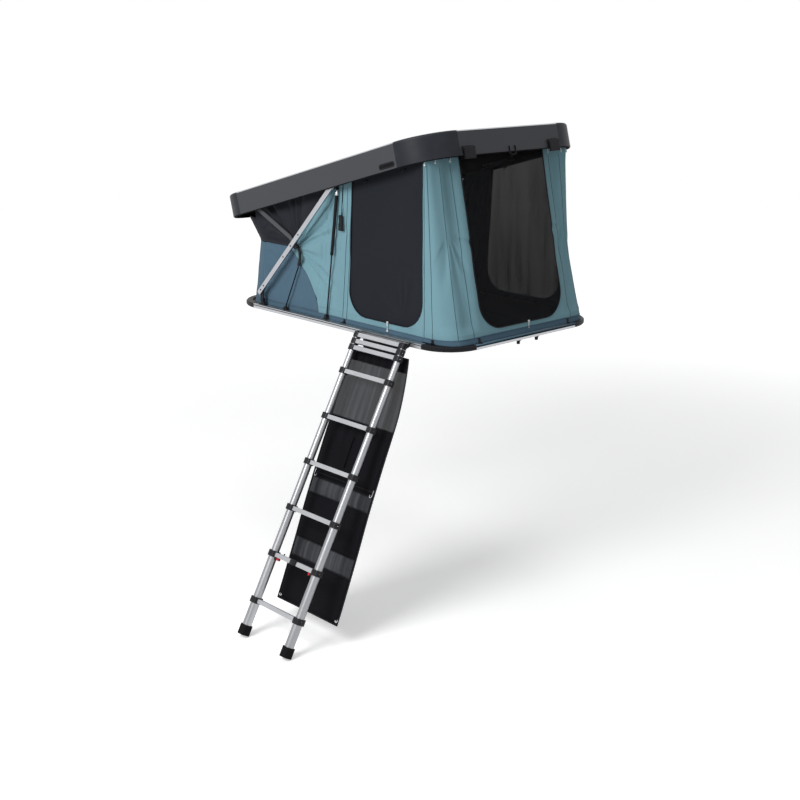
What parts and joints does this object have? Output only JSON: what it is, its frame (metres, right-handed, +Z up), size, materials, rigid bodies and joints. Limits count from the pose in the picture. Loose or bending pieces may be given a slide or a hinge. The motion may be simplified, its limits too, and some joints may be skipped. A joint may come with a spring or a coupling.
{
  "type": "roof top tent",
  "caption": "Hard-shell wedge roof top tent: a tilting lid on lift arms and gas struts over fabric walls and a base tray, with a telescopic ladder on its side.",
  "frame": {"origin": "Centre of the roof-bar bolt pattern, on the underside of the mounting channels", "axes": "+Z up, +X towards the high end of the open lid with the rear window, +Y towards the side away from the ladder"},
  "size_m": [2.3048, 2.432, 3.0452],
  "materials": {
    "bright_alloy": "satin",
    "charcoal_paint": "satin",
    "roof_skin": "satin",
    "floor_board": "matte",
    "black_plastic": "satin",
    "rubber": "matte",
    "teal_cloth": "matte",
    "slate_cloth": "matte",
    "dark_cloth": "matte",
    "mesh_cloth": "matte",
    "release_red": "gloss"
  },
  "bodies": {
    "base": {"floor_panel": "floor_board", "side_rails": "bright_alloy", "end_rails": "bright_alloy", "base_corners": "black_plastic", "mounting_channels": "bright_alloy", "mattress": "slate_cloth", "base_brackets": "black_plastic", "ladder_bracket": "black_plastic", "skirt": "slate_cloth", "side_walls": "teal_cloth", "rear_wall": "teal_cloth", "front_wall": "slate_cloth", "front_hood": "dark_cloth", "side_doors": "dark_cloth", "rear_window": "mesh_cloth", "stay_straps": "dark_cloth"},
    "lid": {"roof_panel": "roof_skin", "lid_side_panels": "charcoal_paint", "lid_end_panels": "charcoal_paint", "lid_corners": "black_plastic", "lid_trims": "bright_alloy", "headliner": "dark_cloth", "lid_tracks": "bright_alloy", "lid_pivots": "black_plastic", "pull_handles": "black_plastic", "latch_plates": "black_plastic", "pull_loop": "dark_cloth", "lid_seal": "rubber"},
    "arms": {"lift_arms": "bright_alloy", "arm_pivots": "black_plastic"},
    "levers": {"levers": "black_plastic"},
    "tail_links": {"tail_links": "black_plastic"},
    "strut_rods": {"strut_rods": "bright_alloy"},
    "strut_tubes": {"strut_tubes": "black_plastic"},
    "latch_left": {"latch_left": "black_plastic"},
    "latch_right": {"latch_right": "black_plastic"},
    "ladder_1": {"ladder_section_1": "bright_alloy", "ladder_collars_1": "black_plastic", "organiser": "dark_cloth"},
    "ladder_2": {"ladder_section_2": "bright_alloy", "ladder_collars_2": "black_plastic"},
    "ladder_3": {"ladder_section_3": "bright_alloy", "ladder_collars_3": "black_plastic"},
    "ladder_4": {"ladder_section_4": "bright_alloy", "ladder_collars_4": "black_plastic"},
    "ladder_5": {"ladder_section_5": "bright_alloy", "ladder_collars_5": "black_plastic"},
    "ladder_6": {"ladder_section_6": "bright_alloy", "ladder_collars_6": "black_plastic"},
    "ladder_7": {"ladder_section_7": "bright_alloy", "ladder_collars_7": "black_plastic"},
    "ladder_8": {"ladder_section_8": "bright_alloy", "ladder_collars_8": "black_plastic"},
    "ladder_9": {"ladder_section_9": "bright_alloy", "ladder_collars_9": "black_plastic", "ladder_feet": "rubber"},
    "release_left": {"release_left": "release_red"},
    "release_right": {"release_right": "release_red"}
  },
  "joints": [
    {"name": "lift", "type": "hinge", "parent": "base", "child": "arms", "pos_m": [-0.758, 0, 0.094], "axis": [0, -1, 0], "range_deg": [-47.8, 0], "stiffness_Nm_per_rad": 240, "springref_deg": 114.59, "deforming": ["side_walls", "rear_wall", "front_wall", "front_hood", "side_doors", "rear_window", "stay_straps"]},
    {"name": "lever_turn", "type": "hinge", "parent": "arms", "child": "levers", "pos_m": [-0.38049, 0, 0.51033], "axis": [0, -1, 0], "range_deg": [0, 71.2]},
    {"name": "lid_turn", "type": "hinge", "parent": "levers", "child": "lid", "pos_m": [-0.8585, 0, 0.75038], "axis": [0, -1, 0], "range_deg": [-38.7, 0]},
    {"name": "tail_turn", "type": "hinge", "parent": "arms", "child": "tail_links", "pos_m": [-0.38049, 0, 0.51033], "axis": [0, -1, 0], "range_deg": [-45.25, 0]},
    {"name": "strut_turn", "type": "hinge", "parent": "base", "child": "strut_rods", "pos_m": [-0.1, 0, 0.082], "axis": [0, -1, 0], "range_deg": [-82.73, 0]},
    {"name": "strut_slide", "type": "slide", "parent": "strut_rods", "child": "strut_tubes", "axis": [0.1439, 0, 0.9896], "range_m": [-0.371, 0]},
    {"name": "latch_left_turn", "type": "hinge", "parent": "lid", "child": "latch_left", "pos_m": [0.91042, -0.379, 1.21565], "axis": [0, -1, 0], "range_deg": [0, 95]},
    {"name": "latch_right_turn", "type": "hinge", "parent": "lid", "child": "latch_right", "pos_m": [0.91042, 0.379, 1.21565], "axis": [0, -1, 0], "range_deg": [0, 95]},
    {"name": "ladder_swing", "type": "hinge", "parent": "base", "child": "ladder_1", "pos_m": [0.505, -0.727, 0.034], "axis": [-1, 0, 0], "range_deg": [0, 60]},
    {"name": "ladder_slide_2", "type": "slide", "parent": "ladder_1", "child": "ladder_2", "axis": [0, 0.481, 0.8767], "range_m": [-0.263, 0]},
    {"name": "ladder_slide_3", "type": "slide", "parent": "ladder_2", "child": "ladder_3", "axis": [0, 0.481, 0.8767], "range_m": [-0.263, 0]},
    {"name": "ladder_slide_4", "type": "slide", "parent": "ladder_3", "child": "ladder_4", "axis": [0, 0.481, 0.8767], "range_m": [-0.147, 0.116]},
    {"name": "ladder_slide_5", "type": "slide", "parent": "ladder_4", "child": "ladder_5", "axis": [0, 0.481, 0.8767], "range_m": [0, 0.263]},
    {"name": "ladder_slide_6", "type": "slide", "parent": "ladder_5", "child": "ladder_6", "axis": [0, 0.481, 0.8767], "range_m": [0, 0.263]},
    {"name": "ladder_slide_7", "type": "slide", "parent": "ladder_6", "child": "ladder_7", "axis": [0, 0.481, 0.8767], "range_m": [0, 0.263]},
    {"name": "ladder_slide_8", "type": "slide", "parent": "ladder_7", "child": "ladder_8", "axis": [0, 0.481, 0.8767], "range_m": [0, 0.263]},
    {"name": "ladder_slide_9", "type": "slide", "parent": "ladder_8", "child": "ladder_9", "axis": [0, 0.481, 0.8767], "range_m": [0, 0.125]},
    {"name": "release_left_press", "type": "slide", "parent": "ladder_8", "child": "release_left", "axis": [-1, 0, 0], "range_m": [0, 0.006], "stiffness_N_per_m": 300, "springref_m": -0.004},
    {"name": "release_right_press", "type": "slide", "parent": "ladder_8", "child": "release_right", "axis": [1, 0, 0], "range_m": [0, 0.006], "stiffness_N_per_m": 300, "springref_m": -0.004}
  ],
  "couplings": [
    {"joint": "lever_turn", "follows": "lift", "ratio": -1.4883},
    {"joint": "lid_turn", "follows": "lift", "ratio": 0.80843},
    {"joint": "tail_turn", "follows": "lift", "ratio": 0.94561},
    {"joint": "strut_turn", "follows": "lift", "ratio": 1.7297},
    {"joint": "strut_slide", "follows": "lift", "m_per_rad": 0.44336}
  ]
}
